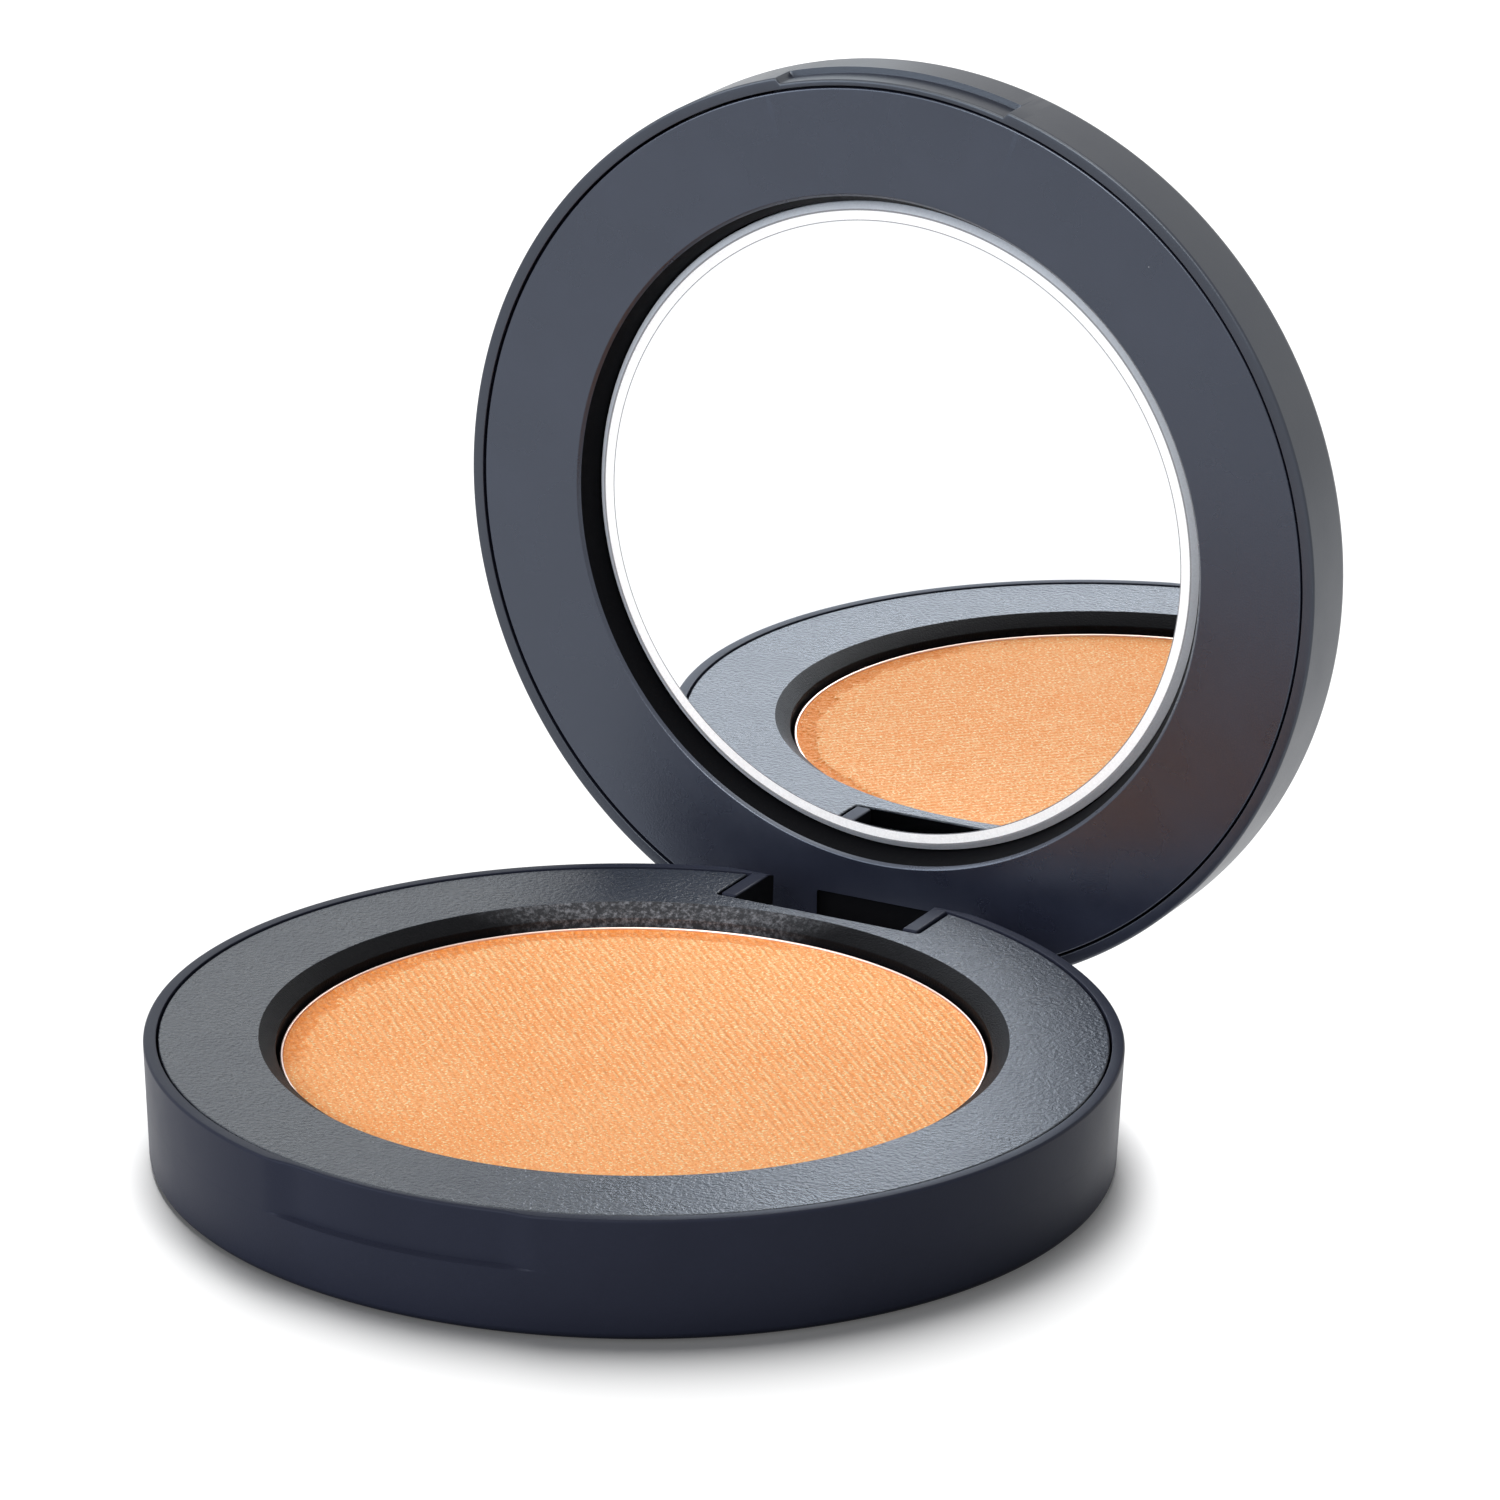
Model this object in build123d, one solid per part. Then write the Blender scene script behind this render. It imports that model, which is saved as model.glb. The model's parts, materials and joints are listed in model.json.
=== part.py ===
from build123d import *
import math
import os

# Round pressed powder compact, standing open on its flat underside.
# Millimetres and degrees. The origin is the centre of the underside, +Z is up, the hinge is at +Y
# and the thumb recess at -Y. The lid is drawn closed and then turned open about the hinge axis.

# ---- overall sizes ----
rim_radius = 30.5            # outside of both rims, where base and lid meet
base_height = 7.9
foot_taper = 0.35            # base narrower at the table than at its rim, before the rounded edge
lid_thickness = 5.2
rim_gap = 0.2                # between the two rims when closed
open_angle = 90.0            # lid against its stop

# ---- shells ----
wall = 0.8
base_floor = 1.2
lid_top = 1.1
foot_round = 0.6
lid_edge_round = 0.9
rim_round = 0.18

# ---- inserts ----
groove = 0.15                # visible line between a rim and its insert
insert_recess = 0.05         # insert face below the rim
base_plate = 1.2
lid_plate = 1.0
skirt_wall = 0.9
bead_height = 0.14           # snap bead that holds an insert in its shell
base_bead_rise = 2.4         # bead centre from the shell's inner face
lid_bead_rise = 1.44
bead_clearance = 0.04

# ---- pan and its well ----
pan_radius = 22.0            # standard 44 mm godet
pan_height = 3.6
pan_gauge = 0.28
pan_corner = 0.5
pan_depth = 1.25             # pan rim below the insert face
pan_clearance = 0.28
lip_slope_width = 1.07       # sloping wall between the insert face and the well
lip_slope_drop = 0.75
well_wall = 0.85
well_floor = 0.9
gusset = 0.6                 # slope under an insert's ring, next to its well or pocket
adhesive = 0.2
powder_drop = 0.12           # powder below the pan rim
powder_clearance = 0.02

# ---- mirror ----
mirror_radius = 21.75
mirror_thickness = 1.5
mirror_depth = 1.35          # glass below the lid insert face
mirror_clearance = 0.12
mirror_edge = 0.3            # ground edge of the glass
mirror_lip_width = 0.55      # draft of the opening's wall
mirror_lip_chamfer = 0.2
adhesive_inset = 1.2         # adhesive pads stay inside their glass or pan by this

# ---- hinge ----
hinge_inset = 2.6            # axis inside the rim
hinge_height = 3.2
pin_radius = 0.6
pin_running_clearance = 0.05
pin_press_clearance = 0.01
pin_setback = 0.1            # pin ends inside the ears' outer faces
barrel_radius = 1.6
tongue_half_width = 5.9
tongue_front = 2.75          # tongue face in front of the axis
tongue_side_clearance = 0.15
stop_clearance = 0.04
ear_thickness = 1.1
ear_groove = 0.25
notch_strip = 1.0            # insert left between the well lip and the hinge notch
swing_clearance = 0.1
window_half_width = 4.4      # pocket in the tongue, next to the lid insert
window_depth = 2.4
window_height = 1.7
window_bite = 0.35           # how far the pocket runs into the insert plate
tongue_heel_rise = 0.4       # the stop face starts this far above the axis when closed
tongue_back_drop = 0.5       # and ends this far below the lid's rim
root_depth = 0.2             # tongue sunk into the insert plate
root_setback = 0.6           # its root inside the insert's edge

# ---- thumb recess ----
recess_half_angle = 15.6
recess_depth = 0.4
recess_below_rim = 3.6
recess_above_rim = 1.95
backing_margin = 1.6         # degrees that the wall's inner backing runs past the recess
backing_clearance = 0.4      # degrees between the backing's ends and the insert
backing_drop = 0.9           # backing starts this far inside a rim, so the insert stays round above it
backing_step = 0.1           # clearance between the backing and the insert's edge above it

# ---- closing magnets ----
magnet_radius = 2.0
magnet_thickness = 1.5
magnet_clearance = 0.03
magnet_boss_wall = 0.6
magnet_boss_lip = 0.2

# ---- underside label ----
label_radius = 15.0
label_thickness = 0.12
label_recess = 0.17
label_clearance = 0.1

# ---- sizes worked out from the values above ----
foot_radius = rim_radius - foot_taper
inner_radius = rim_radius - wall
insert_radius = inner_radius - groove
well_radius = pan_radius + pan_clearance
lip_radius = well_radius + lip_slope_width
insert_face = base_height - insert_recess
pan_rim = insert_face - pan_depth
pan_bottom = pan_rim - pan_height
well_top = pan_bottom - adhesive
lid_rim = base_height + rim_gap
lid_face = lid_rim + insert_recess
lid_outside = lid_rim + lid_thickness
lid_inside = lid_outside - lid_top
glass_face = lid_face + mirror_depth
glass_back = glass_face + mirror_thickness
pocket_radius = mirror_radius + mirror_clearance
opening_radius = pocket_radius + mirror_lip_width
base_bead = base_floor + base_bead_rise
lid_bead = lid_inside - lid_bead_rise
hinge_y = rim_radius - hinge_inset
hinge_axis = Axis((0, hinge_y, hinge_height), (1, 0, 0))
ear_inner = tongue_half_width + tongue_side_clearance
ear_outer = ear_inner + ear_thickness
notch_half_width = ear_outer + ear_groove
notch_front = lip_radius + notch_strip
backing_relief_angle = recess_half_angle + backing_margin + backing_clearance
swing_radius = lid_rim - hinge_height - swing_clearance
magnet_y = -(max(lip_radius, pocket_radius + well_wall) + inner_radius - skirt_wall) / 2
far = 3 * rim_radius
overlap = 0.1                # how deep a joined shape starts inside its neighbour


def revolved(points):
    """Solid of revolution about Z from (radius, height) points."""
    profile = make_face(Polyline(*points, close=True))
    return revolve(Plane.XZ * profile, Axis.Z)


def ring(inner, outer, low, high):
    return revolved([(inner, low), (outer, low), (outer, high), (inner, high)])


def disc(radius, low, high):
    return revolved([(0, low), (radius, low), (radius, high), (0, high)])


def block(x0, x1, y0, y1, z0, z1):
    size = Box(x1 - x0, y1 - y0, z1 - z0, align=(Align.MIN, Align.MIN, Align.MIN))
    return Pos(x0, y0, z0) * size


def bar(radius, half_length):
    """Cylinder along the hinge axis."""
    return Pos(0, hinge_y, hinge_height) * (Rot(0, 90, 0) * Cylinder(radius, 2 * half_length))


def front_sector(half_angle, inner, outer, low, high):
    """Piece of a ring, centred on the thumb side."""
    a = math.radians(half_angle)
    reach = 2 * outer
    wedge = Polyline((0, 0), (-reach * math.sin(a), -reach * math.cos(a)),
                     (reach * math.sin(a), -reach * math.cos(a)), close=True)
    prism = Pos(0, 0, low) * extrude(make_face(wedge), high - low)
    return prism & ring(inner, outer, low, high)


def circles(part, radius, height):
    """The full circles of this radius at this height."""
    tolerance = 1e-3
    return [e for e in part.edges().filter_by(GeomType.CIRCLE)
            if abs(e.radius - radius) < tolerance and abs(e.center().Z - height) < tolerance]


def rounded(part, radius, height, size):
    """Rounds the edge on that circle."""
    return fillet(circles(part, radius, height), size)


def bead(middle):
    """Small ring around an insert's skirt, centred at this height."""
    crest = inner_radius + bead_height - bead_clearance
    root = insert_radius - overlap
    return revolved([(root, middle - 2 * bead_height), (insert_radius, middle - 2 * bead_height),
                     (crest, middle - bead_height / 2), (crest, middle + bead_height / 2),
                     (insert_radius, middle + 2 * bead_height), (root, middle + 2 * bead_height)])


def bead_groove(middle):
    """Profile points of the groove that the bead snaps into, upwards along a shell's inner wall."""
    crest = inner_radius + bead_height
    return [(inner_radius, middle - 2 * bead_height), (crest, middle - bead_height),
            (crest, middle + bead_height), (inner_radius, middle + 2 * bead_height)]


def opened(part):
    return part.rotate(hinge_axis, -open_angle)


def outside_swing(low_x, high_x):
    """Space behind the hinge axis that the lid's rim sweeps as it opens."""
    quarter = block(low_x, high_x, hinge_y, far, hinge_height, far)
    return quarter - bar(swing_radius, far)


def make_base_shell():
    shell = revolved([
        (0, 0), (foot_radius, 0), (rim_radius, base_height), (inner_radius, base_height),
        *reversed(bead_groove(base_bead)), (inner_radius, base_floor), (0, base_floor)])
    shell = rounded(shell, foot_radius, 0, foot_round)
    shell = rounded(shell, rim_radius, base_height, rim_round)
    backing = front_sector(recess_half_angle + backing_margin, inner_radius - recess_depth,
                           inner_radius + overlap, base_floor, base_height - backing_drop)
    shell += backing
    shell -= front_sector(recess_half_angle, rim_radius - recess_depth, far,
                          base_height - recess_below_rim, far)
    ear_foot = base_floor - 3 * overlap
    outline = revolved([(0, ear_foot), (foot_radius, ear_foot),
                        (rim_radius - rim_round, base_height), (0, base_height)])
    ear_front = notch_front + ear_groove
    for side in (-1, 1):
        low, high = sorted((side * ear_inner, side * ear_outer))
        shell += block(low, high, ear_front, far, ear_foot, base_height) & outline
    shell -= block(-ear_inner, ear_inner, ear_front, far, base_floor, far)
    shell -= outside_swing(-far, far)
    shell -= bar(pin_radius + pin_press_clearance, ear_outer)
    shell -= disc(label_radius + label_clearance, -far, label_recess)
    return shell


def make_base_insert():
    plate_under = insert_face - base_plate
    well_under = well_top - well_floor
    skirt_inner = insert_radius - skirt_wall
    well_outer = well_radius + well_wall
    slope_foot = insert_face - lip_slope_drop
    insert = revolved([
        (0, well_under), (well_outer, well_under), (well_outer, plate_under - gusset),
        (well_outer + gusset, plate_under), (skirt_inner, plate_under), (skirt_inner, base_floor),
        (insert_radius, base_floor), (insert_radius, insert_face), (lip_radius, insert_face),
        (well_radius, slope_foot), (well_radius, well_top), (0, well_top)])
    insert += bead(base_bead)
    boss_bottom = plate_under - magnet_thickness - magnet_boss_lip
    boss_radius = magnet_radius + magnet_clearance + magnet_boss_wall
    insert += Pos(0, magnet_y, 0) * disc(boss_radius, boss_bottom, plate_under + overlap)
    insert -= Pos(0, magnet_y, 0) * disc(magnet_radius + magnet_clearance, -far, plate_under)
    insert -= front_sector(backing_relief_angle, insert_radius - recess_depth, far, 0,
                           base_height - backing_drop + backing_step)
    insert -= block(-notch_half_width, notch_half_width, notch_front, far, -far, far)
    insert -= outside_swing(-far, far)
    return insert


def make_powder_pan():
    inside = pan_radius - pan_gauge
    pan = disc(pan_radius, pan_bottom, pan_rim)
    pan = rounded(pan, pan_radius, pan_bottom, pan_corner)
    pan -= disc(inside, pan_bottom + pan_gauge, far)
    return pan


def make_pressed_powder():
    return disc(pan_radius - pan_gauge - powder_clearance, pan_bottom + pan_gauge, pan_rim - powder_drop)


def make_pan_adhesive():
    return disc(pan_radius - adhesive_inset, well_top, pan_bottom)


def make_hinge_pin():
    return bar(pin_radius, ear_outer - pin_setback)


def make_base_magnet():
    top = insert_face - base_plate
    return Pos(0, magnet_y, 0) * disc(magnet_radius, top - magnet_thickness, top)


def make_underside_label():
    return disc(label_radius, label_recess - label_thickness, label_recess)


def make_lid_shell():
    shell = revolved([
        (0, lid_outside), (rim_radius, lid_outside), (rim_radius, lid_rim), (inner_radius, lid_rim),
        *bead_groove(lid_bead), (inner_radius, lid_inside), (0, lid_inside)])
    shell = rounded(shell, rim_radius, lid_outside, lid_edge_round)
    shell = rounded(shell, rim_radius, lid_rim, rim_round)
    shell += front_sector(recess_half_angle + backing_margin, inner_radius - recess_depth,
                          inner_radius + overlap, lid_rim + backing_drop, lid_inside)
    shell -= front_sector(recess_half_angle, rim_radius - recess_depth, far, 0,
                          lid_rim + recess_above_rim)
    return opened(shell)


def tongue():
    """The lid insert's hinge tongue: two arms and a barrel around the pin, closed position."""
    front = hinge_y - tongue_front
    back = hinge_y + hinge_height - base_floor - stop_clearance
    root = lid_face + root_depth
    low = hinge_height - barrel_radius
    side = Polyline((front, root), (front, hinge_height), (hinge_y - barrel_radius, low),
                    (hinge_y, low), (back, hinge_height + tongue_heel_rise),
                    (back, lid_rim - tongue_back_drop), (insert_radius - root_setback, root), close=True)
    face = Plane.YZ * make_face(side)
    arm = extrude(face, tongue_half_width, both=True)
    arm += bar(barrel_radius, tongue_half_width)
    arm -= bar(pin_radius + pin_running_clearance, far)
    low_window = lid_face + window_bite - window_height
    arm -= block(-window_half_width, window_half_width, 0, front + window_depth,
                 low_window, far)
    return arm


def make_lid_insert():
    plate_top = lid_face + lid_plate
    seat_top = glass_back + adhesive
    skirt_inner = insert_radius - skirt_wall
    pocket_outer = pocket_radius + well_wall
    insert = revolved([
        (0, seat_top), (pocket_radius, seat_top), (pocket_radius, glass_face),
        (opening_radius, lid_face + mirror_lip_chamfer),
        (opening_radius + mirror_lip_chamfer, lid_face), (insert_radius, lid_face),
        (insert_radius, lid_inside), (skirt_inner, lid_inside), (skirt_inner, plate_top),
        (pocket_outer + gusset, plate_top), (pocket_outer, plate_top + gusset),
        (pocket_outer, lid_inside), (0, lid_inside)])
    insert += bead(lid_bead)
    boss_radius = magnet_radius + magnet_clearance + magnet_boss_wall
    boss_top = plate_top + magnet_thickness + magnet_boss_lip
    insert += Pos(0, magnet_y, 0) * disc(boss_radius, plate_top - overlap, boss_top)
    insert -= Pos(0, magnet_y, 0) * disc(magnet_radius + magnet_clearance, plate_top, far)
    insert -= front_sector(backing_relief_angle, insert_radius - recess_depth, far,
                           lid_rim + backing_drop - backing_step, far)
    front = hinge_y - tongue_front
    insert -= block(-window_half_width, window_half_width, front, front + window_depth,
                    0, lid_face + window_bite)
    insert += tongue()
    return opened(insert)


def make_mirror():
    glass = disc(mirror_radius, glass_face, glass_back)
    return opened(chamfer(circles(glass, mirror_radius, glass_face), mirror_edge))


def make_mirror_adhesive():
    return opened(disc(mirror_radius - adhesive_inset, glass_back, glass_back + adhesive))


def make_lid_magnet():
    low = lid_face + lid_plate
    return opened(Pos(0, magnet_y, 0) * disc(magnet_radius, low, low + magnet_thickness))


nodes = {
    "base_shell": make_base_shell,
    "base_insert": make_base_insert,
    "pan_adhesive": make_pan_adhesive,
    "powder_pan": make_powder_pan,
    "pressed_powder": make_pressed_powder,
    "hinge_pin": make_hinge_pin,
    "base_magnet": make_base_magnet,
    "underside_label": make_underside_label,
    "lid_shell": make_lid_shell,
    "lid_insert": make_lid_insert,
    "mirror": make_mirror,
    "mirror_adhesive": make_mirror_adhesive,
    "lid_magnet": make_lid_magnet,
}

os.makedirs("parts", exist_ok=True)
for name, make in nodes.items():
    part = make()
    part.label = name
    export_step(part, f"parts/{name}.step")
    print(name, len(part.solids()), "solid", round(part.volume, 1), "mm3")
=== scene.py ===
import math
import json

import bmesh
import bpy
from mathutils import Matrix, Vector


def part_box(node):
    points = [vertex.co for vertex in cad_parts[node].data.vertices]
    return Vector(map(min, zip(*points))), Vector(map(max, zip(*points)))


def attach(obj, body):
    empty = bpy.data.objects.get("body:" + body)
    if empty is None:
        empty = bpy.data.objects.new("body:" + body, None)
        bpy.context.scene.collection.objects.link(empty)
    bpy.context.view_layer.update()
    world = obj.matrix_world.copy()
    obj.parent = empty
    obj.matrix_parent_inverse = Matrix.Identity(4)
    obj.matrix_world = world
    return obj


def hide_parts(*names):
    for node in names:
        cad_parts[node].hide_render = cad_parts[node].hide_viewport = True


bl_info = {
    "name": "Powder compact",
    "version": (1, 0, 0),
    "blender": (4, 5, 0),
    "location": "3D View > Sidebar > Compact",
    "description": "Visible pieces, finishes and studio for an open powder compact",
    "category": "Add Mesh",
}

# The frame: +Z up out of the underside, hinge at +Y, thumb recess at -Y, metres.
# Lid pieces are drawn closed over the base and then turned open about the hinge axis.

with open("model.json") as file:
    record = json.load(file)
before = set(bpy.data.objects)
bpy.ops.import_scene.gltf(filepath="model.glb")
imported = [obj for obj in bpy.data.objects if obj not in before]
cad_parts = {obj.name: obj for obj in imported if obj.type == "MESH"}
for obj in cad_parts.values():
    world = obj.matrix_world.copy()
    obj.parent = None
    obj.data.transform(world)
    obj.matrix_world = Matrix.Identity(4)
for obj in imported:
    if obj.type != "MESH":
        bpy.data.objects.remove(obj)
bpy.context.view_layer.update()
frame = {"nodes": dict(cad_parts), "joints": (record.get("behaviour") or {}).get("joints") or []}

MM = 0.001
SEGMENTS = 480
COOL = (0.84, 0.92, 1.0, 1.0)
BLUE = (0.76, 0.85, 1.0, 1.0)
WHITE = (1.0, 1.0, 1.0, 1.0)
SCUFFED = (0.16, 0.17, 0.20)
DUST = (0.55, 0.56, 0.58)
# Tone of the painted highlight on the hinge side of the well's lip.
GLINT_PAINT = (0.26, 0.27, 0.30)
MIRROR_DUST = (0.50, 0.50, 0.52)
HINGE = frame["joints"][0]
HINGE_AT = Vector(HINGE["pos_m"])
RIM_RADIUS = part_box("base_shell")[1].x
BASE_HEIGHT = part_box("base_shell")[1].z
PAN_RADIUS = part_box("powder_pan")[1].x
PAN_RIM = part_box("powder_pan")[1].z
PAN_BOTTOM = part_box("powder_pan")[0].z
CAKE_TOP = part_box("pressed_powder")[1].z
MIRROR_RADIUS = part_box("mirror")[1].x

# Lengths that only the builders use.
FAR = 20 * MM
HAIR = 0.01 * MM
EAR_BORE = 0.61 * MM
TONGUE_BORE = 0.65 * MM
BARREL = 1.6 * MM
TONGUE_REACH = 2.75 * MM
WINDOW_HALF = 4.4 * MM
WINDOW_DEPTH = 2.4 * MM
STOP_GAP = 0.04 * MM
RELIEF_STEP = 0.1 * MM
PLATE_LEG = 0.9 * MM
WELL_WALL = 0.85 * MM
WELL_FILLET = 0.6 * MM
MIRROR_PLAY = 0.12 * MM
GRAIN_SIZE = 0.055 * MM
GRAIN_SEED = 7
CAKE_CELLS = 270


# ---- settings a user would change ----


def length(name, description, millimetres):
    """A size property, written in millimetres."""
    return bpy.props.FloatProperty(name=name, description=description, default=millimetres * MM,
                                   min=0.0, unit="LENGTH", precision=5)


def angle(name, description, degrees):
    return bpy.props.FloatProperty(name=name, description=description, default=math.radians(degrees),
                                   subtype="ANGLE")


def colour(name, description, value):
    return bpy.props.FloatVectorProperty(name=name, description=description, default=value, size=3,
                                         min=0.0, max=1.0, subtype="COLOR")


def share(name, description, value):
    return bpy.props.FloatProperty(name=name, description=description, default=value, min=0.0,
                                   max=1.0, subtype="FACTOR")


class CompactSizes(bpy.types.PropertyGroup):
    """Sizes of the visible pieces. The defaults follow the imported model, but the pan's sheet is thinner."""

    rim_radius: length("Rim radius", "Outside of both rims, where base and lid meet", RIM_RADIUS / MM)
    base_height: length("Base height", "Table to the rim of the base", BASE_HEIGHT / MM)
    foot_taper: length("Foot taper", "How much narrower the base is at the table", 0.35)
    foot_round: length("Foot rounding", "Radius of the base's lower edge", 0.6)
    wall: length("Wall", "Thickness of the side walls", 0.8)
    floor: length("Floor", "Thickness of the base's floor", 1.2)
    rim_round: length("Rim rounding", "Radius of the rims' outer edges", 0.18)
    lid_thickness: length("Lid thickness", "Rim of the lid to its outside", 5.2)
    lid_top: length("Lid top", "Thickness of the lid's outer face", 1.1)
    lid_round: length("Lid rounding", "Radius of the lid's outer edge", 0.9)
    rim_gap: length("Rim gap", "Between the two rims when closed", 0.2)
    groove: length("Groove", "Line between a rim and its insert", 0.15)
    insert_recess: length("Insert recess", "Insert face below its rim", 0.05)
    insert_round: length("Insert rounding", "Radius of the inserts' edges", 0.12)
    lip_radius: length("Lip radius", "Edge of the base insert around the pan", 23.35)
    lip_slope: length("Lip slope", "Width of the sloping wall inside the lip", 1.07)
    lip_drop: length("Lip drop", "Height of that sloping wall", 0.75)
    well_floor: length("Well floor", "Height of the well's floor above the table", 2.8)
    pan_gauge: length("Pan gauge", "Thickness of the pan's sheet, 0.3 in the packed model", 0.17)
    mirror_depth: length("Mirror depth", "Glass below the face of the lid insert", 1.35)
    mirror_glass: length("Mirror thickness", "Thickness of the glass", 1.5)
    mirror_ground: length("Ground edge", "Width of the ground chamfer around the glass", 0.42)
    mirror_line: length("Edge line", "Width of the dark line inside the ground edge", 0.12)
    # Painted reflection: a white ring on the glass's face stands in for the ground edge's reflection in the
    # silver.
    painted_edge_reflection: length("Edge echo", "Width of the ground edge's reflection in the silver", 0.60)
    recess_depth: length("Thumb recess depth", "How deep the thumb recess is", 0.4)
    recess_below: length("Thumb recess below", "From the base's rim down to the ledge", 3.6)
    recess_above: length("Thumb recess above", "From the lid's rim up to the ledge", 1.95)
    recess_angle: angle("Thumb recess angle", "Half of the angle the recess spans", 15.6)
    recess_soft: angle("Thumb recess ends", "Half of the angle over which the base's recess runs out", 2.6)
    backing_drop: length("Backing drop", "From a rim to the thicker wall behind the recess", 0.9)
    tongue_width: length("Tongue width", "Half width of the lid's hinge tongue", 5.9)
    ear_gap: length("Ear gap", "Between the tongue and each ear of the base", 0.15)
    ear_thickness: length("Ear thickness", "Thickness of each ear", 1.1)
    ear_groove: length("Ear groove", "Line between an ear and the insert", 0.25)
    notch_strip: length("Notch strip", "Insert left between the lip and the hinge notch", 1.0)


class CakeSettings(bpy.types.PropertyGroup):
    """Surface of the pressed powder."""

    cloth_pitch: length("Cloth pitch", "Distance between the lines of the cloth imprint", 0.54)
    cloth_depth: length("Cloth depth", "Depth of the cloth imprint", 0.016)
    cloth_angle: angle("Cloth angle", "Direction of the lines, from the X axis", -45.0)
    swell: length("Swell", "Height of the surface's slow waves", 0.03)
    crumble_width: length("Crumble width", "Width of the broken edge", 2.4)
    crumble_depth: length("Crumble depth", "Depth of the broken edge", 0.16)
    crumbs: bpy.props.IntProperty(
        name="Crumbs", description="About how many loose grains lie along the edge", default=260, min=0)


class CompactFinish(bpy.types.PropertyGroup):
    """Colours and gloss."""

    # Painted light and shade: the base and lid shells are one plastic; shell and lid_shell are two tunings of
    # its colour and gloss, set for how light falls on the base wall and on the lid.
    shell: colour("Shell", "Satin plastic of both shells", (0.0160, 0.0180, 0.0300))
    insert: colour("Base insert", "Grained plastic of the ring around the pan", (0.0110, 0.0130, 0.0200))
    lid_insert: colour("Lid insert", "Finer plastic of the ring around the mirror", (0.0085, 0.0098, 0.0190))
    lid_shell: colour("Lid shell", "Glossier plastic of the lid", (0.0085, 0.0100, 0.0190))
    # Painted shade: the lip colour is a near-black copy of the insert plastic, used on the well's sloping
    # wall and in the near-black finish painted where shade falls.
    lip: colour("Lip", "Smoother plastic of the well's sloping wall", (0.0022, 0.0022, 0.0028))
    powder: colour("Powder", "Face of the cake", (1.0, 0.435, 0.155))
    # powder_deep also paints shade in the troughs of the cloth's lines, and powder_pale paints highlight on
    # their crests.
    powder_deep: colour("Broken powder", "Powder under the pressed face", (0.93, 0.29, 0.045))
    powder_pale: colour("Flecks", "Pale shimmer in the powder", (1.0, 0.78, 0.42))
    pan: colour("Pan", "Sheet metal of the pan", (0.86, 0.68, 0.62))
    silver: colour("Silver", "Silvered back of the glass", (0.94, 0.955, 0.97))
    shell_gloss: share("Shell roughness", "Roughness of the shells", 0.42)
    insert_gloss: share("Insert roughness", "Roughness of the base insert", 0.30)


class StudioSettings(bpy.types.PropertyGroup):
    """Camera and lights."""

    lens: bpy.props.FloatProperty(name="Lens", description="Focal length in millimetres on a 36 mm sensor",
                                  default=204.19)
    azimuth: angle("Azimuth", "Camera round from the front towards +X", 27.8813)
    elevation: angle("Elevation", "Camera above the horizon", 19.4596)
    roll: angle("Roll", "Camera's turn about its own axis", 0.7428)
    place: bpy.props.FloatVectorProperty(name="Place", description="Where the camera stands",
                                         default=(0.236611, -0.432352, 0.200712), subtype="XYZ")
    world_light: bpy.props.FloatProperty(name="Surround", description="Strength of the light from all sides",
                                         default=0.08)
    floor_light: bpy.props.FloatProperty(name="Floor light", description="Watts on the floor only",
                                         default=24.0)


# ---- node trees ----


class Tree:
    """Short way to write shader and geometry trees."""

    def __init__(self, tree):
        self.tree = tree

    def node(self, kind, inputs=(), **settings):
        made = self.tree.nodes.new(kind)
        for key, value in settings.items():
            setattr(made, key, value)
        for key, value in dict(inputs).items():
            socket = made.inputs[key]
            if isinstance(value, bpy.types.NodeSocket):
                self.tree.links.new(value, socket)
            else:
                socket.default_value = value
        return made

    def math(self, operation, a, b=0.0):
        return self.node("ShaderNodeMath", {0: a, 1: b}, operation=operation).outputs[0]

    def times(self, a, b):
        return self.math("MULTIPLY", a, b)

    def plus(self, a, b):
        return self.math("ADD", a, b)

    def minus(self, a, b):
        return self.math("SUBTRACT", a, b)

    def dot(self, a, b):
        return self.vector("DOT_PRODUCT", a, b, out="Value")

    def seen_directly(self):
        """1 for what the camera, a reflection or a clear piece sees, 0 for the light it gives."""
        path = self.node("ShaderNodeLightPath").outputs
        shiny = self.math("MAXIMUM", path["Is Camera Ray"], path["Is Glossy Ray"])
        return self.math("MAXIMUM", shiny, path["Is Transmission Ray"])

    def vector(self, operation, a, b=(0.0, 0.0, 0.0), out="Vector"):
        return self.node("ShaderNodeVectorMath", {0: a, 1: b}, operation=operation).outputs[out]

    def ramp(self, value, low, high, to_low=0.0, to_high=1.0):
        """Smooth step of value between low and high."""
        made = self.node("ShaderNodeMapRange", {"Value": value, "From Min": low, "From Max": high,
                                                "To Min": to_low, "To Max": to_high})
        made.interpolation_type = "SMOOTHSTEP"
        return made.outputs["Result"]

    def noise(self, place, scale, detail=2.0, roughness=0.5):
        """Noise with about this many lumps per metre, 0 to 1."""
        made = self.node("ShaderNodeTexNoise", {"Vector": place, "Scale": scale, "Detail": detail,
                                                "Roughness": roughness})
        return made.outputs[0]

    def mix(self, factor, a, b):
        made = self.node("ShaderNodeMix", data_type="RGBA")
        for index, value in ((0, factor), (6, a), (7, b)):
            if isinstance(value, bpy.types.NodeSocket):
                self.tree.links.new(value, made.inputs[index])
            else:
                made.inputs[index].default_value = value
        return made.outputs[2]


def rgba(value, gain=1.0):
    return (value[0] * gain, value[1] * gain, value[2] * gain, 1.0)


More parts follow.
